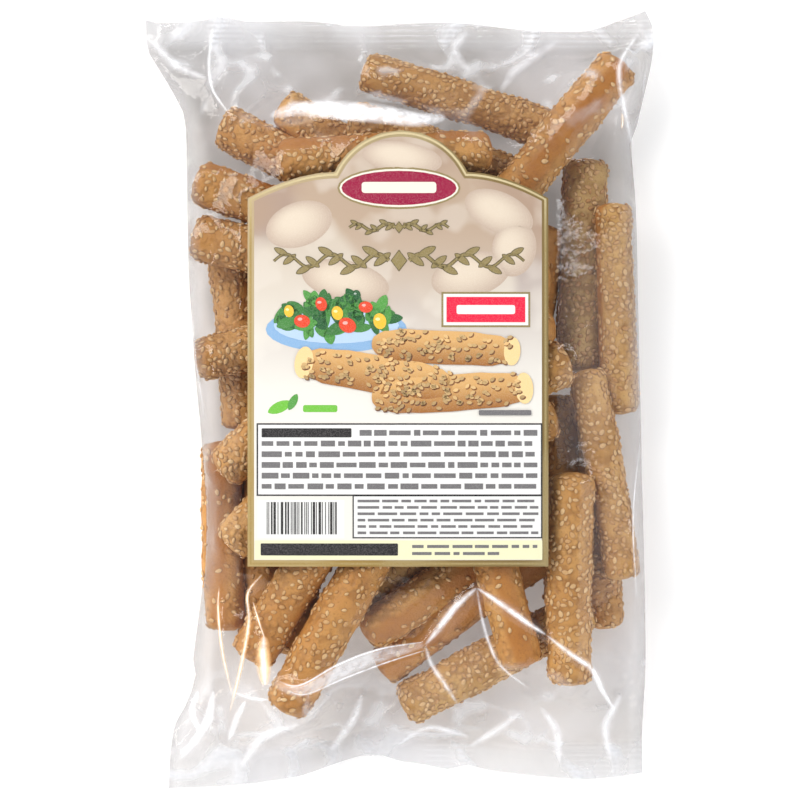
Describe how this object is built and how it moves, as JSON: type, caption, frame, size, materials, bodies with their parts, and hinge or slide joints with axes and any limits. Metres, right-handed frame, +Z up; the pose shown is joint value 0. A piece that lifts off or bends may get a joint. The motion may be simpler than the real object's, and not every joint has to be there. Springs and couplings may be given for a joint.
{
  "type": "bag of sesame breadsticks",
  "caption": "Clear sealed pillow bag full of sesame breadsticks, lying on its back, with an arched paper label stuck on the front.",
  "frame": {"origin": "middle of the bag's outline, on the table that it lies on", "axes": "+Y to the top of the label, along the bag's length; +Z up out of the label, across the bag's thickness"},
  "size_m": [0.2036, 0.3118, 0.0466],
  "materials": {
    "film_over_sticks": "glossy clear film over golden bread",
    "label_paper": "satin printed label with a gold border"
  },
  "bodies": {
    "root": {"bag": "film_over_sticks", "label": "label_paper"}
  },
  "joints": []
}
